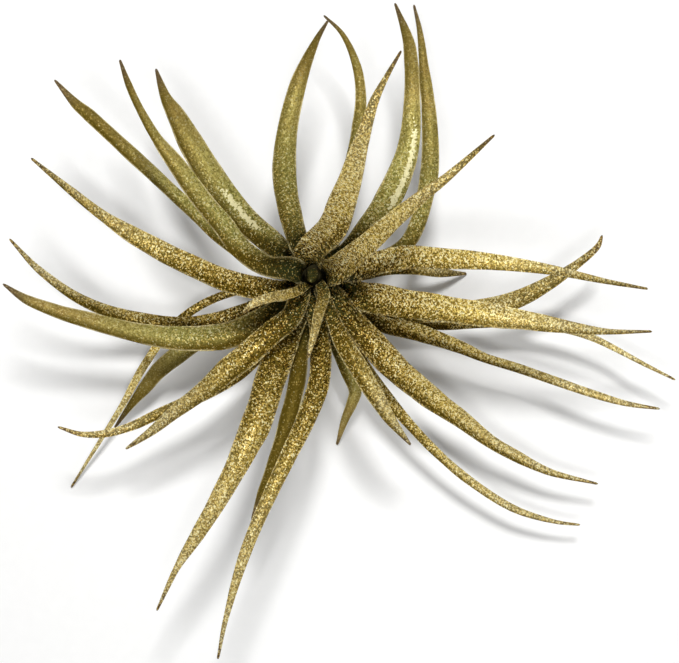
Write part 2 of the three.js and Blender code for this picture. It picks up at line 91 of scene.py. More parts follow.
# Each leaf: its whorl, the direction in degrees in which it leaves the stem, its heights as
# [share of its reach, height], the last being the tip's, and its way as the eye sees it on the read
# plane: [across, up, width of the blade there], the last point being the tip. Where a leaf differs from
# the constants above it also has its own channel depth or opening length.
LEAVES = {
    "heart_leaf_1": dict(
        whorl=0, leaves_at=305, heights=[[0.85, 58], [1, 57]], channel=0.5,
        way=[[1.6, -3.5, 4], [0.1, -9.4, 3.2], [-1.3, -15.7, 2.1], [-3, -22, 0.7]],
    ),
    "heart_leaf_2": dict(
        whorl=0, leaves_at=250, heights=[[0.8, 57], [1, 56]], channel=0.5,
        way=[[-8.4, -2.7, 2.9], [-14.4, -3.9, 3], [-18.9, -5.4, 2.4], [-22.5, -8.4, 0.7]],
    ),
    "inner_leaf_1": dict(
        whorl=1, leaves_at=104, heights=[[0.75, 88], [1, 84]], channel=0.2, opening=6,
        way=[[-0.8, 11.4, 9.4], [4.4, 17.2, 8.9], [7.8, 25.5, 8.1], [10.2, 33, 6.5], [12.3, 40.5, 4.8],
             [14.9, 48.8, 3.3], [17.1, 55.5, 2.6], [20.5, 62.3, 1.5], [25, 70.2, 0.7]],
    ),
    "inner_leaf_2": dict(
        whorl=1, leaves_at=5, heights=[[0.75, 80], [1, 76]], channel=0.32, opening=7,
        way=[[6.6, 5.2, 8.6], [12.6, 10.2, 7.2], [18.3, 15.3, 6], [24.6, 21, 5], [31.8, 26.9, 3.5],
             [37.5, 31.2, 2.7], [44.7, 37.5, 1.8], [53, 45, 0.7]],
    ),
    "inner_leaf_3": dict(
        whorl=1, leaves_at=175, heights=[[0.6, 66], [1, 56]], channel=0.5, opening=9,
        way=[[-9, 4.6, 7.4], [-16.7, 6.4, 6.3], [-23.4, 11.4, 6.3], [-29.2, 18.8, 6.2],
             [-36.5, 27.8, 5.7], [-42.3, 36, 5], [-48, 43.5, 3], [-53.5, 53, 2.3], [-56.7, 60, 2],
             [-59.4, 67.5, 0.7]],
    ),
    "inner_leaf_4": dict(
        whorl=1, leaves_at=238, heights=[[0.35, 46], [1, 30]], channel=0.6,
        way=[[-8.5, -10, 6.4], [-13.8, -14.4, 7.4], [-21.2, -21, 7.5], [-27.3, -25.8, 7.2],
             [-33.6, -31.2, 5.7], [-43.2, -38.4, 3.9], [-50, -44, 2.7], [-57.6, -49.2, 0.7]],
    ),
    "inner_leaf_5": dict(
        whorl=1, leaves_at=293, heights=[[0.6, 53], [1, 40]], channel=0.6,
        way=[[5.1, -11.5, 4.4], [8, -18, 5.4], [12.6, -25.5, 5.7], [17.1, -33, 5.1], [21.9, -40.5, 3.3],
             [27.8, -48, 0.7]],
    ),
    "middle_leaf_1": dict(
        whorl=2, leaves_at=12, heights=[[0.6, 60], [1, 46]], channel=0.36,
        way=[[11, 3.9, 6], [16.2, 6, 7.2], [26, 8.2, 7.2], [33.6, 8, 6.6], [51.6, 6.9, 4.8],
             [69.6, 4.5, 3], [87.6, 0.8, 1.5], [99, -1.2, 0.7]],
    ),
    "middle_leaf_2": dict(
        whorl=2, leaves_at=115, heights=[[0.65, 62], [1, 50]],
        way=[[-6, 13.5, 6.2], [-8.1, 21, 6.5], [-9.6, 28.5, 7], [-10, 36, 7.1], [-8.9, 47.4, 6],
             [-5.6, 60.9, 4.8], [-0.6, 72.9, 2], [3, 79.2, 0.7]],
    ),
    "middle_leaf_3": dict(
        whorl=2, leaves_at=180, heights=[[0.6, 60], [1, 52]],
        way=[[-9.5, -1.5, 6], [-19, -0.8, 6.6], [-28, 1.5, 6.4], [-37, 5.4, 6], [-46, 9.8, 6],
             [-55, 14.7, 5], [-64, 20.4, 3.3], [-72.9, 27.3, 2.5], [-86, 38, 0.7]],
    ),
    "middle_leaf_4": dict(
        whorl=2, leaves_at=270, heights=[[0.65, 62], [1, 50]], channel=0.45,
        way=[[0.5, -14.5, 6], [0.9, -21.8, 6.6], [0.3, -29.3, 6.3], [-2.1, -36.8, 6], [-9, -51.8, 4.8],
             [-16.2, -66.8, 3.9], [-22.2, -81.8, 3.3], [-27.5, -99.8, 1.6], [-30, -112.2, 0.7]],
    ),
    "middle_leaf_5": dict(
        whorl=2, leaves_at=318, heights=[[0.2, 38], [0.52, 23], [1, 14.5]], channel=0.6,
        way=[[10.6, -11, 7], [16.2, -17.4, 8.4], [24.6, -26.3, 8.1], [33.6, -33.6, 6.9],
             [42.6, -40, 5.7], [51.6, -46.8, 4.2], [60.6, -52, 3.6], [69.6, -56.1, 2.3],
             [84, -59.7, 0.7]],
    ),
    "middle_leaf_6": dict(
        whorl=3, leaves_at=345, heights=[[0.6, 50], [1, 40]],
        way=[[13.2, -3.6, 8.4], [18.6, -4.5, 9.2], [26, -5.7, 9], [41, -7.8, 7.7], [59, -10.2, 6.3],
             [77, -13, 3.4], [86, -14, 1.9], [100.2, -14, 0.7]],
    ),
    "middle_leaf_7": dict(
        whorl=3, leaves_at=243, heights=[[0.55, 54], [1, 44]],
        way=[[-9, -16.5, 6.6], [-11.7, -21.8, 8.4], [-14.4, -29.3, 9.4], [-19.5, -44.3, 8.4],
             [-26.9, -59.3, 6], [-35.7, -74.3, 4.2], [-42.2, -84.8, 2], [-48.3, -97.7, 0.7]],
    ),
    "middle_leaf_8": dict(
        whorl=3, leaves_at=142, heights=[[0.6, 50], [1, 43]],
        way=[[-10.8, 9.9, 6.8], [-15, 13.5, 7.4], [-20.7, 18.3, 7.8], [-26.7, 25, 8], [-32.7, 33.6, 8.1],
             [-38, 42.5, 7.4], [-43, 51.6, 5.2], [-45.5, 56, 3.4], [-48.6, 64.8, 0.7]],
    ),
    "middle_leaf_9": dict(
        whorl=3, leaves_at=52, heights=[[0.6, 52], [1, 40]], channel=0.32,
        way=[[8.6, 9.5, 6], [13.2, 14.4, 6.8], [17.4, 19.8, 7.5], [21, 25.5, 7.8], [24.6, 33, 7.5],
             [27, 40.5, 6.4], [28.2, 55.5, 4.7], [27.6, 70.5, 3.8], [26.1, 76.5, 2.6],
             [23.1, 84.5, 0.7]],
    ),
    "middle_leaf_10": dict(
        whorl=3, leaves_at=300, heights=[[0.2, 24], [0.6, 17.5], [1, 11.5]], channel=0.5,
        way=[[7.5, -14, 4.6], [10.8, -19.5, 4.8], [14.4, -25.5, 4.5], [22.8, -36.3, 3.6],
             [31.8, -46.5, 3], [44, -57.6, 2.8], [58.4, -66.9, 2.4], [71, -71, 1.3], [78.6, -72, 0.7]],
    ),
    "outer_leaf_1": dict(
        whorl=4, leaves_at=206, heights=[[0.5, 33], [1, 53]], channel=0.5,
        way=[[-12.9, -8.6, 7.4], [-19, -12, 8.2], [-26, -14.9, 8.4], [-32.4, -15.9, 8.1],
             [-41.4, -16, 7.4], [-50.4, -15, 6.3], [-68.4, -10.7, 5.2], [-86.4, -4.8, 3],
             [-94.5, 0.3, 0.7]],
    ),
    "outer_leaf_2": dict(
        whorl=4, leaves_at=325, heights=[[0.2, 25], [0.55, 19], [1, 22]], channel=0.6,
        way=[[12.5, -9.6, 4.6], [20, -12, 5], [32, -14.9, 5.3], [43.2, -18.9, 3.9], [50, -21.9, 3],
             [60.6, -25.2, 3], [81.6, -32.4, 2.5], [92, -35.5, 1.9], [102.6, -37.2, 0.7]],
    ),
    "outer_leaf_3": dict(
        whorl=4, leaves_at=160, heights=[[0.6, 42], [1, 52]],
        way=[[-12, 3.6, 4.2], [-19.5, 7, 4.2], [-29.4, 14.4, 4.2], [-38.4, 23, 4.2], [-57.3, 40.5, 4.2],
             [-68.7, 51, 3.9], [-72.6, 54.3, 3], [-79, 61.5, 0.7]],
    ),
    "outer_leaf_4": dict(
        whorl=4, leaves_at=78, heights=[[0.6, 44], [1, 35]], channel=0.32,
        way=[[4.6, 12.5, 4], [6.6, 18, 4.2], [9, 25.5, 4.2], [9.6, 33, 4.2], [12, 46.5, 3.9],
             [12.9, 56, 3.3], [11.7, 65.3, 2.7], [7.5, 75, 1.5], [1.8, 80.8, 0.7]],
    ),
    "outer_leaf_5": dict(
        whorl=4, leaves_at=28, heights=[[0.6, 43], [1, 34]],
        way=[[14, 6.5, 4.8], [21.6, 8.8, 4.8], [26.4, 12.3, 4.8], [29.7, 18, 5], [33.3, 33, 5.4],
             [33.5, 48, 4.8], [32, 63, 3.3], [30.6, 75.8, 1.7], [28.8, 84, 0.7]],
    ),
    "outer_leaf_6": dict(
        whorl=4, leaves_at=258, heights=[[0.7, 44], [1, 42]], channel=0.5,
        way=[[-5, -18, 4.8], [-5.7, -25.5, 5], [-7, -33, 5], [-9, -40.5, 5], [-14, -55.5, 3.6],
             [-17, -63, 2.7], [-19.8, -70.5, 0.7]],
    ),
    "outer_leaf_7": dict(
        whorl=5, leaves_at=187, heights=[[0.5, 22], [0.8, 42], [1, 58]],
        way=[[-14, -4.4, 4.8], [-24.3, -8.7, 4.8], [-32.4, -11, 4.8], [-41.4, -11.7, 4.5],
             [-58, -9.3, 4.2], [-70.7, -4.5, 3.3], [-83.4, 4.4, 2.2], [-92.5, 13.8, 0.7]],
    ),
    "outer_leaf_8": dict(
        whorl=5, leaves_at=235, heights=[[0.45, 27], [1, 38]],
        way=[[-11.4, -15, 5], [-18, -21, 5], [-23.4, -26, 5], [-31, -31, 4.5], [-38.4, -34.8, 4],
             [-48, -38.8, 3.2], [-55.6, -42.3, 2.8], [-63, -44.5, 2.4], [-70.6, -44.8, 1.7],
             [-78, -42.6, 0.7]],
    ),
    "outer_leaf_9": dict(
        whorl=5, leaves_at=345, heights=[[0.5, 22], [1, 30]],
        way=[[14, -6.5, 5], [24.6, -8.4, 5.7], [36.6, -8.4, 6], [48.6, -7.2, 6], [59.4, -4.5, 5.7],
             [69.8, 0.9, 4.2], [78.3, 6.6, 2.6], [84, 11.7, 1.8], [85.3, 14.9, 0.7]],
    ),
    "lowest_leaf_1": dict(
        whorl=6, leaves_at=332, heights=[[0.4, 14], [1, 20]],
        way=[[15.6, -8, 4.5], [24.6, -10.2, 4.8], [36.6, -11.3, 4.8], [60.6, -11, 3.6], [72.6, -12.8, 3],
             [81.6, -15.5, 2.4], [98, -23.9, 1.3], [107.2, -28.5, 0.7]],
    ),
    "lowest_leaf_2": dict(
        whorl=6, leaves_at=15, heights=[[0.4, 16], [1, 0.4]], channel=0.55,
        way=[[14, 3, 3.6], [20, 4.4, 3.6], [27.6, 4.8, 3.6], [36.6, 3.6, 3], [44.6, 3.3, 0.8]],
    ),
    "lowest_leaf_3": dict(
        whorl=6, leaves_at=290, heights=[[0.35, 15], [1, 0.4]], channel=0.6,
        way=[[5, -16, 4.8], [9, -26, 4.8], [11.2, -31.8, 4.2], [10.3, -35.3, 3.5], [8.1, -40.5, 2.4],
             [5.7, -48, 0.8]],
    ),
    "lowest_leaf_4": dict(
        whorl=6, leaves_at=178, heights=[[0.4, 15], [1, 0.4]], channel=0.5,
        way=[[-14, -0.6, 2.7], [-24.9, -2.1, 2.7], [-35.4, -6.3, 2.7], [-44.4, -13.5, 2.7],
             [-52.5, -25, 2.7], [-58.5, -36, 2], [-64.5, -45.6, 1.4], [-74, -60.8, 0.7]],
    ),
    "lowest_leaf_5": dict(
        whorl=6, leaves_at=210, heights=[[0.45, 15], [1, 3]], channel=0.36,
        way=[[-11, -7, 5], [-22, -10.5, 6], [-33, -15, 6], [-42, -21, 6], [-47.4, -25.5, 5.5],
             [-51.8, -30.8, 4], [-56, -36, 2.4], [-61, -43, 0.7]],
    ),
}

# The fine blades: a ring every so many millimetres, points from margin to margin on each face, and steps
# of a leaf's middle line between two of its points.
RING_STEP = 0.6
FACE_POINTS = 18
WAY_STEPS = 40
# The margins stand up a little as a thin lip, and the tip is as fine as a pine needle: its half width
# grows by TIP_SLOPE for each millimetre from the end.
LIP_HEIGHT = 0.2
LIP_START = 0.72
NEEDLE = 0.3
TIP_SLOPE = 0.5
# Uneven growth moves the margins, and the glitter coat makes the surface grainy.
MARGIN_UNEVENNESS = 0.05
UNEVENNESS_STEP = 7
GRAIN_HEIGHT = 0.035

# The gold was sprayed from high over the plant's near left side. The same cone of directions also paints
# light and shade: a point gets more of the spray mark, and looks brighter, as it faces the cone and lies
# open to it, and it gets painted shadow behind other blades. Then the middle way to the can, how many
# degrees about it the can wandered, and from how many places the spray is worked out.
WAY_TO_CAN_AND_LIGHT = np.array([-0.25, -0.6, 0.8])
CAN_AND_LIGHT_WANDER = 40
CAN_AND_LIGHT_PLACES = 24
# The spray mark grows towards the plant's right side by this much for each millimetre, so the right
# leaves look brighter.
GAIN_TO_RIGHT = 0.002
# The net of points at which the spray on a leaf, with its painted light and shade, is worked out: one
# row in so many rings, points in a row, and how far above the leaf they lie.
NET_RINGS = 5
NET_POINTS = 7
NET_CLEARANCE = 0.9
# The spray lies on a blade's upper face and thins out round its margins.
ROUND_MARGIN = 0.2
# How far from the stem the floor of a leaf's channel, between its steep flanks, is kept bare of spray,
# which paints shade into the channel there. It is bare up to half that distance, and as sprayed as its
# flanks from one and a half times that distance.
SHADED_CHANNEL = 12
SHADED_CHANNELS = {
    "inner_leaf_1": 4, "inner_leaf_2": 4, "inner_leaf_3": 26, "inner_leaf_4": 26, "inner_leaf_5": 24,
    "middle_leaf_4": 22, "middle_leaf_5": 24, "outer_leaf_1": 18, "outer_leaf_2": 28, "outer_leaf_6": 90,
}
SHADED_CHANNEL_FADE = (0.5, 1.5)
# Per leaf, how much the spray mark is raised or lowered near its base and at its end, which paints the
# leaf lighter or darker there, partly as thinner or thicker spray and partly as painted light and shade;
# then the part of its length in which the one share passes into the other.
SPRAY_AND_LIGHT_TAKEN = {
    "heart_leaf_1": (0.75, 0.9), "inner_leaf_1": (1, 0.6), "inner_leaf_2": (1, 0.6),
    "inner_leaf_4": (0.7, 1), "inner_leaf_5": (0.6, 1), "middle_leaf_1": (1, 0.8),
    "middle_leaf_2": (0.75, 1.1), "middle_leaf_3": (0.8, 1), "middle_leaf_8": (1.8, 1.1),
    "middle_leaf_9": (1.4, 1), "middle_leaf_10": (0.7, 1.5), "outer_leaf_1": (1.6, 1.6),
    "outer_leaf_2": (1.5, 1.5), "outer_leaf_3": (1.4, 0.6), "outer_leaf_5": (1.2, 1.4),
    "outer_leaf_6": (0.2, 1), "outer_leaf_7": (1.5, 1.5), "outer_leaf_8": (1.2, 1),
    "outer_leaf_9": (1.1, 0.6), "lowest_leaf_1": (1.5, 1.3), "lowest_leaf_2": (1.8, 2.5),
    "lowest_leaf_4": (1.6, 2), "lowest_leaf_5": (1.2, 0.6),
}
SPRAY_AND_LIGHT_CHANGE = (0.45, 0.85)
# Painted shade on one flank near the base, which gets less of the spray mark: 1 for the left one, seen
# towards the tip, or -1. Then how much of the spray it lost, where the shade starts across the leaf, and
# where it ends along it.
SHADED_FLANKS = {"inner_leaf_1": -1, "inner_leaf_4": 1}
SHADE = 0.8
SHADE_ACROSS = (0.05, 0.5)
SHADE_ALONG = (0.25, 0.5)
# The heart's leaves get at least this much of the spray mark, which lightens the painted shade on them,
# in full from this share of their length. The bud gets a little, more towards its tip, and stays dark as
# painted shade of the hollow heart.
HEART_SPRAY_AND_LIGHT = 0.6
HEART_SPRAY_AND_LIGHT_FULL = 0.6
BUD_SPRAY_AND_LIGHT = 0.3
# Painted highlights: pale streaks where a lamp would glint on smooth gold. How far across the leaf,
# and from and to along it. Then the streak's half width, and how gradually it starts and ends.
HIGHLIGHT_STREAKS = {"middle_leaf_8": (-0.2, 0.32, 0.5), "middle_leaf_9": (-0.42, 0.36, 0.6)}
STREAK_WIDTH = 0.5
STREAK_START = (-0.06, 0.04)
STREAK_END = (-0.04, 0.06)

# The rolled bud shows the edges of three young leaves, which wind up it by a quarter turn. Each stands
# out by this share of the bud's radius, which changes with the height.
BUD_SCALES = 3
BUD_TWIST = 0.75
BUD_EDGE = 0.22
BUD_RINGS = 36
BUD_PROFILE = ((0, BUD_RADIUS), (0.3, BUD_RADIUS), (0.65, 0.75 * BUD_RADIUS), (1, BUD_TIP_RADIUS))
# The stem keeps the scars of old leaves: rows of shallow, scalloped rings. A scallop is as high as this
# share of a row.
SCAR_STEP = 2.2
SCAR_DEPTH = 0.3
SCALLOPS = 5
SCALLOP_HEIGHT = 0.3
STEM_RING_STEP = 0.5
ROUND_POINTS = 60


def lerp(a, b, share):
    return a + (b - a) * share


def blend(value, low, high):
    """0 below low, 1 above high, and smooth between them."""
    share = np.clip((np.asarray(value, float) - low) / (high - low), 0, 1)
    return share * share * (3 - 2 * share)


def stem_radius(height):
    return STEM_FOOT_RADIUS - STEM_TAPER * (height - FOOT_HEIGHT)


def beside_stem(direction, radius, height):
    return np.array([
        LEAN[0] * height + radius * math.cos(direction),
        LEAN[1] * height + radius * math.sin(direction),
        height,
    ])


def on_sight_line(across, up, height):
    """The real place of a point that the eye sees at (across, up) on the read plane."""
    share = (EYE[2] - height) / (EYE[2] - READ_PLANE)
    return np.array([EYE[0] + (across - EYE[0]) * share, EYE[1] + (up - EYE[1]) * share, height])


def base_angle(name):
    """Half the angle on the stem that a leaf's base may take, between its neighbours in the whorl."""
    leaf = LEAVES[name]
    turns = [
        abs((other["leaves_at"] - leaf["leaves_at"] + 180) % 360 - 180)
        for key, other in LEAVES.items()
        if key != name and other["whorl"] == leaf["whorl"]
    ]
    return math.radians(min([WIDEST_BASE_ANGLE, *turns]) / 2 * BASE_FILL)


def height_at(leaf, share, start):
    """A smooth line through a leaf's heights, level wherever it turns from rising to drooping or back."""
    at, heights = np.array([[0, start], *leaf["heights"]]).T
    climbs = np.diff(heights) / np.diff(at)
    slopes = np.zeros(len(at))
    for i, (before, after) in enumerate(zip(climbs, climbs[1:]), start=1):
        if before * after > 0:
            slopes[i] = 2 * before * after / (before + after)
    slopes[0] = 2 * climbs[0] - slopes[1]
    slopes[-1] = 2 * climbs[-1] - slopes[-2]
    i = max(0, int(np.searchsorted(at, share)) - 1)
    gap = at[i + 1] - at[i]
    t = (share - at[i]) / gap
    level = lerp(heights[i], heights[i + 1], t * t * (3 - 2 * t))
    return level + gap * t * (1 - t) * (slopes[i] * (1 - t) - slopes[i + 1] * t)


def way_points(leaf):
    """The points that a leaf's middle line passes through, from the stem to the tip."""
    direction = math.radians(leaf["leaves_at"])
    start = WHORL_HEIGHTS[leaf["whorl"]]
    radius = stem_radius(start) + STEM_GAP + MIDDLE_THICKNESS / 2
    left = beside_stem(direction, radius + SHEATH_SPREAD, start + SHEATH_RISE)
    plan = np.array([left[:2], *[point[:2] for point in leaf["way"]]])
    reaches = np.cumsum(np.linalg.norm(np.diff(plan, axis=0), axis=1))
    points = [
        on_sight_line(across, up, height_at(leaf, min(1, reach / reaches[-1]), left[2]))
        for (across, up, _), reach in zip(leaf["way"], reaches)
    ]
    return np.array([beside_stem(direction, radius, start), left, *points])


def smooth_way(points):
    """A centripetal Catmull-Rom curve through the points: its places, and between which points each lies."""
    ends = np.vstack([2 * points[0] - points[1], points, 2 * points[-1] - points[-2]])
    times = np.sqrt(np.linalg.norm(np.diff(ends, axis=0), axis=1))
    share = np.linspace(0, 1, WAY_STEPS, endpoint=False)[:, None]
    places = []
    for i in range(len(points) - 1):
        a, b, c, d = ends[i:i + 4]
        before, here, after = times[i:i + 3]
        leaving = ((b - a) / before - (c - a) / (before + here) + (c - b) / here) * here
        arriving = ((c - b) / here - (d - b) / (here + after) + (d - c) / after) * here
        square = -3 * b + 3 * c - 2 * leaving - arriving
        cube = 2 * b - 2 * c + leaving + arriving
        places.append(b + leaving * share + square * share ** 2 + cube * share ** 3)
    places = np.vstack([*places, points[-1:]])
    return places, np.arange(len(places)) / WAY_STEPS


def unit(vectors):
    return vectors / np.linalg.norm(vectors, axis=-1, keepdims=True)


def leaf_frame(leaf, points):
    """Rings along the leaf: place, directions of its side and face, its width and how far it has opened."""
    places, steps = smooth_way(points)
    lengths = np.concatenate([[0], np.cumsum(np.linalg.norm(np.diff(places, axis=0), axis=1))])
    length = lengths[-1]
    rings = round(length / RING_STEP) + 1
    along = np.linspace(0, 1, rings)
    place = np.stack([np.interp(along * length, lengths, places[:, k]) for k in range(3)], axis=1)
    step = np.interp(along * length, lengths, steps)
    widths = [leaf["way"][0][2], leaf["way"][0][2], *[point[2] for point in leaf["way"]]]
    width = np.interp(step, np.arange(len(widths)), widths)
    tangent = unit(np.gradient(place, axis=0))
    opened = blend(along * length, 0, leaf.get("opening", OPENING))
    direction = math.radians(leaf["leaves_at"])
    clasping = np.array([-math.sin(direction), math.cos(direction), 0])
    level = unit(np.stack([-tangent[:, 1], tangent[:, 0], np.zeros(rings)], axis=1))
    side = level * opened[:, None] + clasping * (1 - opened[:, None])
    side = unit(side - tangent * np.sum(side * tangent, axis=1, keepdims=True))
    return along, length, place, side, np.cross(tangent, side), width, opened


def uneven(rng, count, spacing):
    """Smooth random numbers about -1 to 1 for count rings, changing every so many rings."""
    knots = rng.uniform(-1, 1, int(count / spacing) + 3)
    at = np.arange(count) / spacing
    before = at.astype(int)
    return lerp(knots[before], knots[before + 1], blend(at - before, 0, 1))


def closed_mesh(name, rings, marks):
    """A closed mesh from rings of points in millimetres, capped at both ends, with marks on the points."""
    count = rings.shape[1]
    ring, column = np.meshgrid(np.arange(len(rings) - 1), np.arange(count), indexing="ij")
    here, there = ring * count, (ring + 1) * count
    after = (column + 1) % count
    sides = np.stack([here + column, here + after, there + after, there + column], axis=-1)
    faces = sides.reshape(-1, 4).tolist()
    last = (len(rings) - 1) * count
    for i in range(count // 2):
        strip = list(dict.fromkeys([i, i + 1, count - i - 1, (count - i) % count]))
        faces.append(strip[::-1])
        faces.append([last + corner for corner in strip])
    mesh = bpy.data.meshes.new(name)
    mesh.from_pydata((rings.reshape(-1, 3) * MM).tolist(), [], faces)
    mesh.update()
    for key, values in marks.items():
        grid = np.broadcast_to(values, rings.shape[:2]).astype(np.float32)
        mesh.attributes.new(key, "FLOAT", "POINT").data.foreach_set("value", grid.ravel())
    return mesh


def blade_shape(name):
    """A leaf's rings, and how wide and how deep the channel of its blade is at each."""
    leaf = LEAVES[name]
    along, length, place, side, face, width, opened = leaf_frame(leaf, way_points(leaf))
    base_radius = stem_radius(WHORL_HEIGHTS[leaf["whorl"]]) + STEM_GAP
    base_half = base_radius * math.sin(base_angle(name))
    wrap = base_radius - math.sqrt(base_radius ** 2 - base_half ** 2)
    half = lerp(base_half, width / 2, opened)
    half = np.minimum(half, NEEDLE / 2 + (1 - along) * length * TIP_SLOPE)
    deepening = 1 + BASE_DEEPENING * (1 - blend(along, 0, DEEPENING_SHARE))
    depth = lerp(wrap, leaf.get("channel", CHANNEL) * half * deepening, opened)
    return SimpleNamespace(along=along, length=length, place=place, side=side, face=face,
                           half=half, depth=depth, opened=opened)


def net(blade):
    """A coarse net of points on a blade, as rows of rings, and which way its top faces at each."""
    rings = np.unique([*range(0, len(blade.along), NET_RINGS), len(blade.along) - 1])
    across = np.linspace(-1, 1, NET_POINTS)[None, :, None]
    place, side, face = (value[rings, None, :] for value in (blade.place, blade.side, blade.face))
    half, depth = (value[rings, None, None] for value in (blade.half, blade.depth))
    points = place + side * half * across + face * depth * across ** 2
    return rings, points, unit(face - side * 2 * across * depth / half)


def ways_to_can_and_light():
    """Directions towards the can and the painted light, spread evenly over the cone in which it wandered."""
    middle = unit(WAY_TO_CAN_AND_LIGHT)
    aside = unit(np.cross(middle, (0, 0, 1)))
    ahead = np.cross(aside, middle)
    count = np.arange(CAN_AND_LIGHT_PLACES)[:, None]
    off = np.tan(math.radians(CAN_AND_LIGHT_WANDER) * np.sqrt((count + 0.5) / CAN_AND_LIGHT_PLACES))
    turn = count * math.pi * (3 - math.sqrt(5))
    return unit(middle + off * (np.cos(turn) * aside + np.sin(turn) * ahead))


def spray_and_shadow_tree(nets):
    """All the blades' nets as one surface, which keeps the spray off what lies behind and paints shadow
    there.
    """
    corners, faces = [], []
    for _, points, _ in nets:
        rows, columns = points.shape[:2]
        first = len(corners)
        corners += points.reshape(-1, 3).tolist()
        for row in range(rows - 1):
            at = first + row * columns
            faces += [(i, i + 1, i + 1 + columns, i + columns) for i in range(at, at + columns - 1)]
    return BVHTree.FromPolygons(corners, faces)


def spray_and_light_on(points, tops, tree):
    """How much spray and painted light each net point gets: 0 behind other blades, 1 open and facing the can.
    """
    ways = ways_to_can_and_light()
    spray = np.zeros(points.shape[:2])
    for at in np.ndindex(spray.shape):
        start = points[at] + tops[at] * NET_CLEARANCE
        facing = ways @ tops[at]
        spray[at] = sum(
            share for way, share in zip(ways, facing)
            if share > 0 and tree.ray_cast(start, way)[0] is None
        ) / CAN_AND_LIGHT_PLACES
    # More towards the right, which makes the right leaves brighter.
    return spray * (1 + GAIN_TO_RIGHT * points[..., 0])


def fine_surface(rng, blade):
    """The fine points of a blade's closed skin, with how far across and over its middle each one is."""
    spacing = UNEVENNESS_STEP / RING_STEP
    edges = [uneven(rng, len(blade.along), spacing)[:, None] for _ in range(2)]
    along, half, depth, opened = (
        value[:, None] for value in (blade.along, blade.half, blade.depth, blade.opened)
    )
    turn = np.linspace(0, 2 * math.pi, 2 * FACE_POINTS, endpoint=False)[None, :]
    across = -np.cos(turn)
    over = np.sin(turn)
    reach = across * half * (1 + MARGIN_UNEVENNESS * np.where(across < 0, *edges) * opened * across ** 2)
    thickness = lerp(MIDDLE_THICKNESS, MARGIN_THICKNESS, np.maximum(across ** 2, along))
    thickness = thickness * np.sqrt(1 - across ** 6) * np.minimum(1, half / MIDDLE_THICKNESS)
    lip = LIP_HEIGHT * blend(np.abs(across), LIP_START, 1) * opened * (1 - along)
    grain = rng.normal(0, GRAIN_HEIGHT, reach.shape) * np.minimum(1, half)
    lift = depth * across ** 2 + np.sign(over.round(6)) * thickness / 2 + lip + grain
    points = (blade.place[:, None, :] + blade.side[:, None, :] * reach[..., None]
              + blade.face[:, None, :] * lift[..., None])
    return points, across, over


def spray_and_shade_taken(name, blade, across, rings, spray):
    """The spray mark on a leaf's fine points, from what fell on its net, with painted light and shade added.
    """
    along = blade.along[:, None]
    spray = np.stack([np.interp(np.arange(len(along)), rings, column) for column in spray.T], axis=1)
    column = (across[0] + 1) / 2 * (NET_POINTS - 1)
    before = np.minimum(column.astype(int), NET_POINTS - 2)
    spray = lerp(spray[:, before], spray[:, before + 1], column - before)
    # The channel's floor loses its spray near the stem, which paints shade there.
    bare_and_shaded = SHADED_CHANNELS.get(name, SHADED_CHANNEL)
    sprayed_and_lit_floor = blend(along * blade.length, SHADED_CHANNEL_FADE[0] * bare_and_shaded, SHADED_CHANNEL_FADE[1] * bare_and_shaded)
    spray = spray * (1 - (1 - across ** 2) * (1 - sprayed_and_lit_floor))
    # A floor for the heart's leaves, which lightens their painted shade.
    if LEAVES[name]["whorl"] == 0:
        spray = np.maximum(spray, HEART_SPRAY_AND_LIGHT * blend(along, 0, HEART_SPRAY_AND_LIGHT_FULL))
    # Raised or lowered per leaf, partly as painted light and shade.
    spray = spray * lerp(*SPRAY_AND_LIGHT_TAKEN.get(name, (1, 1)), blend(along, *SPRAY_AND_LIGHT_CHANGE))
    # Painted shade on one flank near the base.
    shade = blend(SHADED_FLANKS.get(name, 0) * across, *SHADE_ACROSS) * (1 - blend(along, *SHADE_ALONG))
    return spray * (1 - SHADE * shade)


def highlight_streak(name, along, across):
    """The painted highlight streak on a leaf: 1 in the middle of the streak, and 0 off it."""
    if name not in HIGHLIGHT_STREAKS:
        return 0 * across
    middle, start, end = HIGHLIGHT_STREAKS[name]
    run = 1 - blend(np.abs(across - middle), 0, STREAK_WIDTH)
    run = run * blend(along, start + STREAK_START[0], start + STREAK_START[1])
    return run * (1 - blend(along, end + STREAK_END[0], end + STREAK_END[1]))


def leaf_mesh(name, blade, rings, spray):
    """One blade, marked with how far along and across it each point lies, how much spray it got with its
    painted light and shade, and where its painted highlight streak lies.

    Its leaf number makes its fibres unlike any other leaf's.
    """
    rng = np.random.default_rng(list(LEAVES).index(name))
    points, across, over = fine_surface(rng, blade)
    along = blade.along[:, None]
    upper_face = blend(over, -ROUND_MARGIN, ROUND_MARGIN)
    # The painted highlight streak, and the spray mark, which carries painted light and shade as well.
    return closed_mesh("fine_" + name, points, {
        "along": along, "across": across, "from_stem": along * blade.length,
        "run": highlight_streak(name, along, across) * upper_face,
        "spray": spray_and_shade_taken(name, blade, across, rings, spray) * upper_face,
        "leaf_number": rng.uniform(-4, 4),
    })


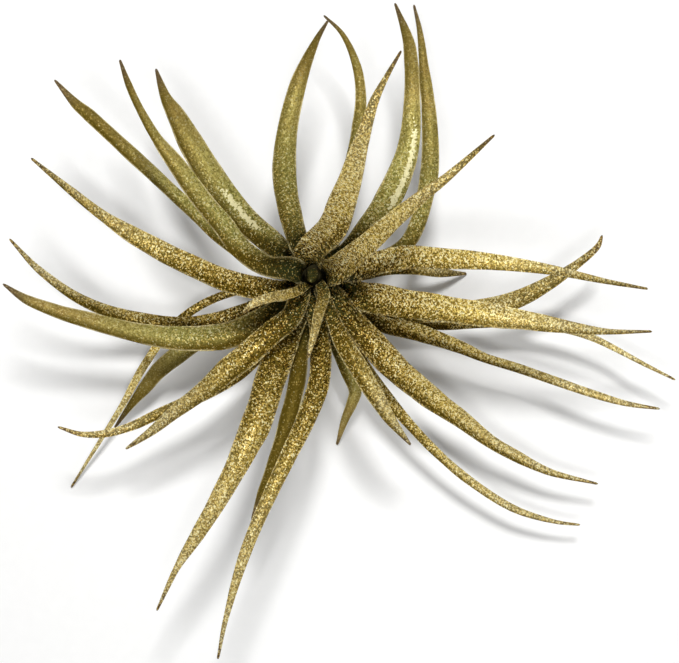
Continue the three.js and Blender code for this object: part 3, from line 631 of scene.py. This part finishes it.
def bud_mesh():
    """The youngest leaves, rolled tight: the edge of each lies over the next."""
    share = np.linspace(0, 1, BUD_RINGS)[:, None]
    turn = np.linspace(0, 1, ROUND_POINTS, endpoint=False)[None, :]
    overlap = (turn * BUD_SCALES + BUD_TWIST * share) % 1
    radius = np.interp(share, *zip(*BUD_PROFILE)) * (1 - BUD_EDGE * overlap)
    height = np.broadcast_to(share * BUD_HEIGHT, radius.shape)
    foot = beside_stem(0, 0, STEM_HEIGHT + STEM_GAP)
    points = foot + np.stack([
        radius * np.cos(turn * 2 * math.pi) + BUD_LEAN[0] * height,
        radius * np.sin(turn * 2 * math.pi) + BUD_LEAN[1] * height,
        height,
    ], axis=-1)
    # The bud's low spray keeps it dark as painted shade of the hollow heart; it has no painted highlight.
    return closed_mesh("rolled_bud", points, {
        "along": share / 2, "across": 0, "from_stem": share * BUD_HEIGHT, "run": 0,
        "spray": BUD_SPRAY_AND_LIGHT * share, "leaf_number": 0,
    })


def stem_mesh():
    """The short stem, ringed with the scars of old leaves above its flat foot."""
    height = np.arange(0, STEM_HEIGHT + STEM_RING_STEP / 2, STEM_RING_STEP)[:, None]
    turn = np.linspace(0, 2 * math.pi, ROUND_POINTS, endpoint=False)[None, :]
    callus = ((0, CALLUS_RADIUS - FOOT_ROUND), (FOOT_ROUND, CALLUS_RADIUS),
              (2 * FOOT_ROUND, CALLUS_RADIUS - FOOT_ROUND / 2), (FOOT_HEIGHT, STEM_FOOT_RADIUS))
    radius = np.where(height < FOOT_HEIGHT, np.interp(height, *zip(*callus)), stem_radius(height))
    row = height / SCAR_STEP + SCALLOP_HEIGHT * np.abs(np.sin(turn * SCALLOPS / 2))
    radius = radius - SCAR_DEPTH * (row % 1) ** 2 * blend(height, 0, FOOT_HEIGHT)
    points = np.stack([
        radius * np.cos(turn) + LEAN[0] * height,
        radius * np.sin(turn) + LEAN[1] * height,
        np.broadcast_to(height, radius.shape),
    ], axis=-1)
    return closed_mesh("scarred_stem", points, {})


def srgb(code):
    """A linear colour from an sRGB hex code."""
    parts = [int(code[i:i + 2], 16) / 255 for i in (1, 3, 5)]
    return (*[c / 12.92 if c <= 0.04045 else ((c + 0.055) / 1.055) ** 2.4 for c in parts], 1)


def add(tree, kind, settings=None, **links):
    """A node with its settings, its inputs in use linked or set by name (_ for a space) or by _ and place.

    A node given as a link stands for its first output in use.
    """
    node = tree.nodes.new(kind)
    for key, value in (settings or {}).items():
        setattr(node, key, value)
    used = [socket for socket in node.inputs if socket.enabled]
    named = {socket.name.replace(" ", "_"): socket for socket in reversed(used)}
    for key, value in links.items():
        socket = used[int(key[1:])] if key[1:].isdigit() else named[key]
        if isinstance(value, bpy.types.Node):
            value = next(output for output in value.outputs if output.enabled)
        if isinstance(value, bpy.types.NodeSocket):
            tree.links.new(value, socket)
        else:
            socket.default_value = value
    return node


def empty_material(name):
    material = bpy.data.materials.new(name)
    material.use_nodes = True
    material.node_tree.nodes.clear()
    return material, material.node_tree


# Gold glitter: foil flakes in a clear binder over a satin gold spray. Real flakes are about 0.15 mm;
# they are drawn at 0.36 mm, the finest that still shows as single grains in the view. Each one lies
# tilted its own way and shines a little like metal.
FLAKE = 0.36
FLAKE_TILT = 0.35
FLAKE_SHEEN = 0.3
# A flake's colour is its painted glint: from one turned from the light to one that mirrors it.
FLAKE_COLOURS = ((0.0, "#1c1300"), (0.36, "#7b5912"), (0.57, "#e6c567"), (0.95, "#fffaca"))
# Painted glints gather in clumps of this many millimetres, bright flakes and dark ones: how much gleam
# they gain or lose there at most, and how much they lose where the spray mark is low, which paints shade.
CLUMP = 0.8
CLUMP_GLEAM = 0.8
GLEAM_LOSS = 0.27
# The coat has thick and thin patches of this many millimetres, with a larger or smaller share of flakes.
PATCH = 7
PATCH_COVER = 0.6
# The share of the flakes that is left where the spray mark, with its painted shade, is nil, and the amount
# of spray that brings them all.
STRAY_FLAKES = 0.5
ALL_FLAKES = 0.6
# The amounts of the spray mark, which also carries painted light and shade, at which the paint starts to
# hide the leaf and hides all of it.
PAINTED = (0.25, 0.8)
# Away from the heart the flakes lie deeper in the spray: how much more it dulls them at the ends, and
# the part of the leaf's length in which it does so.
END_DULLING = 0.5
DULLED_ALONG = (0.15, 0.6)
# Satin gold spray, and the dried olive green leaf, which shows where the spray is thin.
SPRAY = ("#8e7320", "#dfc96c")
THIN_SPRAY = ("#68662a", "#b0a960")
# The leaf's fibres: so many in a millimetre along it and in half its width, and their height in
# millimetres. Paint is rougher on them than in the hollows between: from where to where, and how rough.
FIBRES_ALONG = 0.48
FIBRES_ACROSS = 10
FIBRE_HEIGHT = 0.15
ROUGHENED = (0.35, 0.65)
ROUGHNESS = (0.4, 0.55)
# The fibres and, by this share, the spray's own grains turn its first colour into its second one.
SPRAY_GRAIN = 0.6
MOTTLED = (0.4, 1.2)
# The dry binder over it all hardly shines.
BINDER_SHINE = 0.07
# Where no spray fell the leaves are dull brown, and dark green up to these distances from the stem, a
# green darkened as painted shade of the heart.
UNSPRAYED = "#5b4c14"
BASE = "#3b4122"
BASE_ENDS = (8, 32)
# Thinly sprayed ends are straw on the gold leaves and coppery on the green ones, in patches.
STRAW = "#b6b092"
COPPER = "#a5844a"
ENDS_ALONG = (0.4, 0.85)
# The tips have died back to brown.
TIP = "#62513a"
TIP_ALONG = (0.88, 0.99)
# The margins are scraped pale in the thicker patches of the coat.
MARGIN = "#b9ad80"
MARGIN_ACROSS = (0.82, 0.95)
SCRAPED = (0.35, 0.6)
# A painted highlight: a streak of pale, clean gold, with a ragged edge along the clumps.
HIGHLIGHT_COLOUR = "#e8e0ae"
HIGHLIGHT_STRENGTH = 0.5
HIGHLIGHT_EDGE = (0.76, 0.84)

# The two coats: the share of the surface that flakes hide, how much the spray dulls them at the heart,
# the two colours of the spray, its metallic sheen, and the colour of the leaf's end.
GILDED = {"cover": 0.9, "dulling": 0.0, "spray": SPRAY, "sheen": 0.2, "end": STRAW}
DUSTED = {"cover": 0.6, "dulling": 0.35, "spray": THIN_SPRAY, "sheen": 0.3, "end": COPPER}

# The stem's dry bark: its two browns, darkened as painted shade of the hollow heart, and its fibres'
# width and height in millimetres.
BARK = ("#17160b", "#332e17")
BARK_FIBRE = 1.5
BARK_RELIEF = 0.3
# White paper under the plant, and the width of the clumps of its pulp in millimetres.
PAPER = ("#f2f2f1", "#f6f6f5")
PULP = 4


def leaf_patterns(tree):
    """All that varies over a leaf: the marks of its mesh, its flakes, and the patches of its coat."""
    # The spray mark carries painted light and shade as well as the spray; the streak mark is a painted
    # highlight.
    marks = SimpleNamespace(**{
        key: add(tree, "ShaderNodeAttribute", {"attribute_name": key}).outputs["Fac"]
        for key in ("along", "across", "from_stem", "run", "spray", "leaf_number")
    })
    place = add(tree, "ShaderNodeTexCoord").outputs["Object"]
    flakes = add(tree, "ShaderNodeTexVoronoi", Vector=place, Scale=1 / (FLAKE * MM)).outputs["Color"]
    fibre_way = add(
        tree, "ShaderNodeCombineXYZ", Z=marks.leaf_number,
        X=add(tree, "ShaderNodeMath", {"operation": "MULTIPLY"}, _0=marks.from_stem, _1=FIBRES_ALONG),
        Y=add(tree, "ShaderNodeMath", {"operation": "MULTIPLY"}, _0=marks.across, _1=FIBRES_ACROSS),
    )
    return SimpleNamespace(
        marks=marks,
        flakes=flakes,
        chance=add(tree, "ShaderNodeSeparateColor", _0=flakes),
        patches=add(tree, "ShaderNodeTexNoise", Vector=place, Scale=1 / (PATCH * MM), Detail=3.0),
        clumps=add(tree, "ShaderNodeTexNoise", Vector=place, Scale=1 / (CLUMP * MM), Detail=2.0),
        fibres=add(tree, "ShaderNodeTexNoise", Vector=fibre_way, Scale=1.0, Detail=4.0),
        painted=add(tree, "ShaderNodeMapRange", _0=marks.spray, _1=PAINTED[0], _2=PAINTED[1]),
    )


def flake_cover(tree, leaf, coat):
    """1 on a flake and 0 between flakes, closer in thick patches and where the spray mark, with painted
    light, is higher.
    """
    share = add(tree, "ShaderNodeMath", {"operation": "MULTIPLY_ADD"}, _0=leaf.patches, _1=PATCH_COVER,
                _2=coat["cover"] - PATCH_COVER / 2)
    kept = add(tree, "ShaderNodeMapRange", _0=leaf.marks.spray, _1=0.0, _2=ALL_FLAKES, _3=STRAY_FLAKES)
    share = add(tree, "ShaderNodeMath", {"operation": "MULTIPLY"}, _0=share, _1=kept)
    return add(tree, "ShaderNodeMath", {"operation": "LESS_THAN"}, _0=leaf.chance.outputs["Red"], _1=share)


def flake_glint_colour(tree, leaf):
    """The colour of foil flakes, each with a painted glint of its own, brighter or darker in clumps."""
    gleam = add(tree, "ShaderNodeMath", {"operation": "MULTIPLY_ADD"}, _0=leaf.painted, _1=GLEAM_LOSS,
                _2=-GLEAM_LOSS)
    gleam = add(tree, "ShaderNodeMath", {"operation": "ADD"}, _0=gleam, _1=leaf.chance.outputs["Green"])
    clumped = add(tree, "ShaderNodeMapRange", {"clamp": False}, _0=leaf.clumps, _1=0.0, _2=1.0,
                  _3=-CLUMP_GLEAM, _4=CLUMP_GLEAM)
    gleam = add(tree, "ShaderNodeMath", {"operation": "ADD"}, _0=gleam, _1=clumped)
    foil = add(tree, "ShaderNodeValToRGB", Fac=gleam)
    stops = foil.color_ramp.elements
    while len(stops) < len(FLAKE_COLOURS):
        stops.new(1.0)
    for stop, (position, colour) in zip(stops, FLAKE_COLOURS):
        stop.position = position
        stop.color = srgb(colour)
    return foil


def ground_colour(tree, leaf, coat):
    """What shows between the flakes: mottled spray, or bare leaf darkened towards the stem as painted shade,
    with its end, tip and pale margins.
    """
    mottle = add(tree, "ShaderNodeMath", {"operation": "MULTIPLY_ADD"}, _0=leaf.chance.outputs["Blue"],
                 _1=SPRAY_GRAIN, _2=leaf.fibres)
    mottle = add(tree, "ShaderNodeMapRange", _0=mottle, _1=MOTTLED[0], _2=MOTTLED[1])
    ground = add(tree, "ShaderNodeMix", {"data_type": "RGBA"}, Factor=mottle, A=srgb(coat["spray"][0]),
                 B=srgb(coat["spray"][1]))
    end = add(tree, "ShaderNodeMapRange", {"interpolation_type": "SMOOTHSTEP"}, _0=leaf.marks.along,
              _1=ENDS_ALONG[0], _2=ENDS_ALONG[1])
    end = add(tree, "ShaderNodeMath", {"operation": "MULTIPLY"}, _0=end, _1=leaf.patches)
    ground = add(tree, "ShaderNodeMix", {"data_type": "RGBA"}, Factor=end, A=ground, B=srgb(coat["end"]))
    # Near the stem the bare leaf is dark green, darkened as painted shade of the heart.
    opened = add(tree, "ShaderNodeMapRange", {"interpolation_type": "SMOOTHSTEP"}, _0=leaf.marks.from_stem,
                 _1=BASE_ENDS[0], _2=BASE_ENDS[1])
    bare_and_shaded = add(tree, "ShaderNodeMix", {"data_type": "RGBA"}, Factor=opened, A=srgb(BASE),
               B=srgb(UNSPRAYED))
    ground = add(tree, "ShaderNodeMix", {"data_type": "RGBA"}, Factor=leaf.painted, A=bare_and_shaded, B=ground)
    tip = add(tree, "ShaderNodeMapRange", {"interpolation_type": "SMOOTHSTEP"}, _0=leaf.marks.along,
              _1=TIP_ALONG[0], _2=TIP_ALONG[1])
    ground = add(tree, "ShaderNodeMix", {"data_type": "RGBA"}, Factor=tip, A=ground, B=srgb(TIP))
    aside = add(tree, "ShaderNodeMath", {"operation": "ABSOLUTE"}, _0=leaf.marks.across)
    margin = add(tree, "ShaderNodeMapRange", {"interpolation_type": "SMOOTHSTEP"}, _0=aside,
                 _1=MARGIN_ACROSS[0], _2=MARGIN_ACROSS[1])
    scraped = add(tree, "ShaderNodeMapRange", _0=leaf.patches, _1=SCRAPED[0], _2=SCRAPED[1])
    margin = add(tree, "ShaderNodeMath", {"operation": "MULTIPLY"}, _0=margin, _1=scraped)
    return add(tree, "ShaderNodeMix", {"data_type": "RGBA"}, Factor=margin, A=ground, B=srgb(MARGIN))


def leaf_facing(tree, leaf):
    """The way the surface faces: turned at random from flake to flake, and rippled by the fibres."""
    tilt = add(tree, "ShaderNodeVectorMath", {"operation": "SUBTRACT"}, _0=leaf.flakes, _1=(0.5, 0.5, 0.5))
    tilt = add(tree, "ShaderNodeVectorMath", {"operation": "SCALE"}, _0=tilt, Scale=FLAKE_TILT)
    facing = add(tree, "ShaderNodeNewGeometry").outputs["Normal"]
    facing = add(tree, "ShaderNodeVectorMath", {"operation": "ADD"}, _0=facing, _1=tilt)
    facing = add(tree, "ShaderNodeVectorMath", {"operation": "NORMALIZE"}, _0=facing)
    return add(tree, "ShaderNodeBump", Strength=0.3, Distance=FIBRE_HEIGHT * MM, Height=leaf.fibres,
               Normal=facing)


def leaf_material(name, coat):
    """A dried leaf under gold spray and glitter.

    Foil flakes at all angles, with painted glints, give the eye a mix of bright and dark grains; between them
    lies satin paint.
    """
    material, tree = empty_material(name)
    leaf = leaf_patterns(tree)
    flaked = flake_cover(tree, leaf, coat)
    ground = ground_colour(tree, leaf, coat)
    dull = add(tree, "ShaderNodeMapRange", _0=leaf.marks.along, _1=DULLED_ALONG[0], _2=DULLED_ALONG[1],
               _3=coat["dulling"], _4=coat["dulling"] + END_DULLING)
    # The flakes' colours are painted glints.
    foil = add(tree, "ShaderNodeMix", {"data_type": "RGBA"}, Factor=dull, A=flake_glint_colour(tree, leaf), B=ground)
    colour = add(tree, "ShaderNodeMix", {"data_type": "RGBA"}, Factor=flaked, A=ground, B=foil)
    # The painted highlight streak.
    run = add(tree, "ShaderNodeMath", {"operation": "MULTIPLY_ADD"}, _0=leaf.marks.run, _1=HIGHLIGHT_STRENGTH,
              _2=leaf.clumps)
    run = add(tree, "ShaderNodeMapRange", _0=run, _1=HIGHLIGHT_EDGE[0], _2=HIGHLIGHT_EDGE[1])
    colour = add(tree, "ShaderNodeMix", {"data_type": "RGBA"}, Factor=run, A=colour, B=srgb(HIGHLIGHT_COLOUR))
    metallic = add(tree, "ShaderNodeMapRange", _0=flaked, _1=0.0, _2=1.0, _3=coat["sheen"],
                   _4=FLAKE_SHEEN)
    roughness = add(tree, "ShaderNodeMapRange", _0=leaf.fibres, _1=ROUGHENED[0], _2=ROUGHENED[1],
                    _3=ROUGHNESS[0], _4=ROUGHNESS[1])
    shader = add(tree, "ShaderNodeBsdfPrincipled", Base_Color=colour, Metallic=metallic,
                 Roughness=roughness, Normal=leaf_facing(tree, leaf), Specular_IOR_Level=BINDER_SHINE)
    add(tree, "ShaderNodeOutputMaterial", Surface=shader)
    return material


def bark_material():
    """Dry leaf bases and bark: dark olive brown fibres that hardly shine, darkened as painted shade of the
    heart.
    """
    material, tree = empty_material("dry_bark")
    place = add(tree, "ShaderNodeTexCoord").outputs["Object"]
    fibres = add(tree, "ShaderNodeTexNoise", Vector=place, Scale=1 / (BARK_FIBRE * MM), Detail=5.0)
    colour = add(tree, "ShaderNodeMix", {"data_type": "RGBA"}, Factor=fibres, A=srgb(BARK[0]),
                 B=srgb(BARK[1]))
    facing = add(tree, "ShaderNodeBump", Strength=0.6, Distance=BARK_RELIEF * MM, Height=fibres)
    shader = add(tree, "ShaderNodeBsdfPrincipled", Base_Color=colour, Roughness=0.85, Normal=facing,
                 Specular_IOR_Level=0.1)
    add(tree, "ShaderNodeOutputMaterial", Surface=shader)
    return material


def paper_material():
    """Matt white paper, faintly cloudy from the clumps of its pulp."""
    material, tree = empty_material("white_paper")
    place = add(tree, "ShaderNodeTexCoord").outputs["Object"]
    pulp = add(tree, "ShaderNodeTexNoise", Vector=place, Scale=1 / (PULP * MM), Detail=2.0)
    colour = add(tree, "ShaderNodeMix", {"data_type": "RGBA"}, Factor=pulp, A=srgb(PAPER[0]),
                 B=srgb(PAPER[1]))
    shader = add(tree, "ShaderNodeBsdfPrincipled", Base_Color=colour, Roughness=0.9, Specular_IOR_Level=0.1)
    add(tree, "ShaderNodeOutputMaterial", Surface=shader)
    return material


def add_piece(mesh, node, material):
    piece = bpy.data.objects.new(mesh.name, mesh)
    bpy.context.scene.collection.objects.link(piece)
    mesh.materials.append(material)
    mesh.shade_smooth()
    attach(piece, "root")
    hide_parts(node)


# The leaves on which the spray is thin. All others are thickly gilded.
GREEN_LEAVES = {
    "inner_leaf_3", "middle_leaf_2", "middle_leaf_8", "middle_leaf_9", "outer_leaf_1", "outer_leaf_3",
    "outer_leaf_4", "outer_leaf_5", "outer_leaf_6", "lowest_leaf_3", "lowest_leaf_5",
}
gilded_leaf = leaf_material("gold_glitter_leaf", GILDED)
dusted_leaf = leaf_material("dusted_green_leaf", DUSTED)
blades = {name: blade_shape(name) for name in LEAVES}
nets = {name: net(blade) for name, blade in blades.items()}
# The blades' nets cast the painted shadows of the spray and light.
spray_and_shadow_caster = spray_and_shadow_tree(nets.values())
for name, (rings, points, tops) in nets.items():
    mesh = leaf_mesh(name, blades[name], rings, spray_and_light_on(points, tops, spray_and_shadow_caster))
    if name in GREEN_LEAVES:
        add_piece(mesh, name, dusted_leaf)
    else:
        add_piece(mesh, name, gilded_leaf)
add_piece(bud_mesh(), "heart_bud", dusted_leaf)
add_piece(stem_mesh(), "stem", bark_material())

# The studio, in metres and watts. Each lamp hangs at a place, is a disk of a width, and has a power; all
# of them aim at the stem's foot.
FLOOR_WIDTH = 4
LAMPS = {
    "key_lamp": ((0.035, 0.30, 0.70), 0.12, 4.25),
    "second_lamp": ((-0.02, -0.14, 0.70), 0.13, 1.2),
    "fill_lamp": ((0.22, -0.4, 0.4), 0.5, 0.5),
}
# Soft light from the room: its middle strength, and how that leans with the direction it comes from.
ROOM_LIGHT = 0.5
ROOM_LEAN = (-0.15, -0.25, -0.4)
SENSOR_WIDTH = 36


def make_floor():
    """A plain white sheet under the plant."""
    half = FLOOR_WIDTH / 2
    mesh = bpy.data.meshes.new("floor")
    corners = [(-half, -half, 0), (half, -half, 0), (half, half, 0), (-half, half, 0)]
    mesh.from_pydata(corners, [], [(0, 1, 2, 3)])
    mesh.materials.append(paper_material())
    floor = bpy.data.objects.new("floor", mesh)
    bpy.context.scene.collection.objects.link(floor)


def make_lamp(name, place, width, watts):
    light = bpy.data.lights.new(name, "AREA")
    light.shape = "DISK"
    light.size = width
    light.energy = watts
    lamp = bpy.data.objects.new(name, light)
    bpy.context.scene.collection.objects.link(lamp)
    lamp.location = place
    lamp.rotation_mode = "QUATERNION"
    lamp.rotation_quaternion = (-Vector(place)).to_track_quat("-Z", "Y")
    lamp.visible_camera = False


def make_room():
    world = bpy.data.worlds.new("studio")
    world.use_nodes = True
    tree = world.node_tree
    tree.nodes.clear()
    way = add(tree, "ShaderNodeTexCoord").outputs["Generated"]
    strength = add(tree, "ShaderNodeVectorMath", {"operation": "DOT_PRODUCT"}, _0=way, _1=ROOM_LEAN)
    strength = add(tree, "ShaderNodeMath", {"operation": "ADD"}, _0=strength, _1=ROOM_LIGHT)
    sky = add(tree, "ShaderNodeBackground", Color=srgb("#ffffff"), Strength=strength)
    add(tree, "ShaderNodeOutputWorld", Surface=sky)
    bpy.context.scene.world = world


def make_camera():
    """The reference view: the eye looks straight down, with the view's top towards +Y."""
    camera = bpy.data.objects.new("camera", bpy.data.cameras.new("camera"))
    bpy.context.scene.collection.objects.link(camera)
    camera.location = Vector(EYE) * MM
    camera.data.sensor_width = SENSOR_WIDTH
    camera.data.lens = SENSOR_WIDTH * (EYE[2] - READ_PLANE) / FRAME_WIDTH
    bpy.context.scene.camera = camera


make_floor()
for name, (place, width, watts) in LAMPS.items():
    make_lamp(name, place, width, watts)
make_room()
make_camera()
bpy.context.scene.view_settings.view_transform = "Standard"
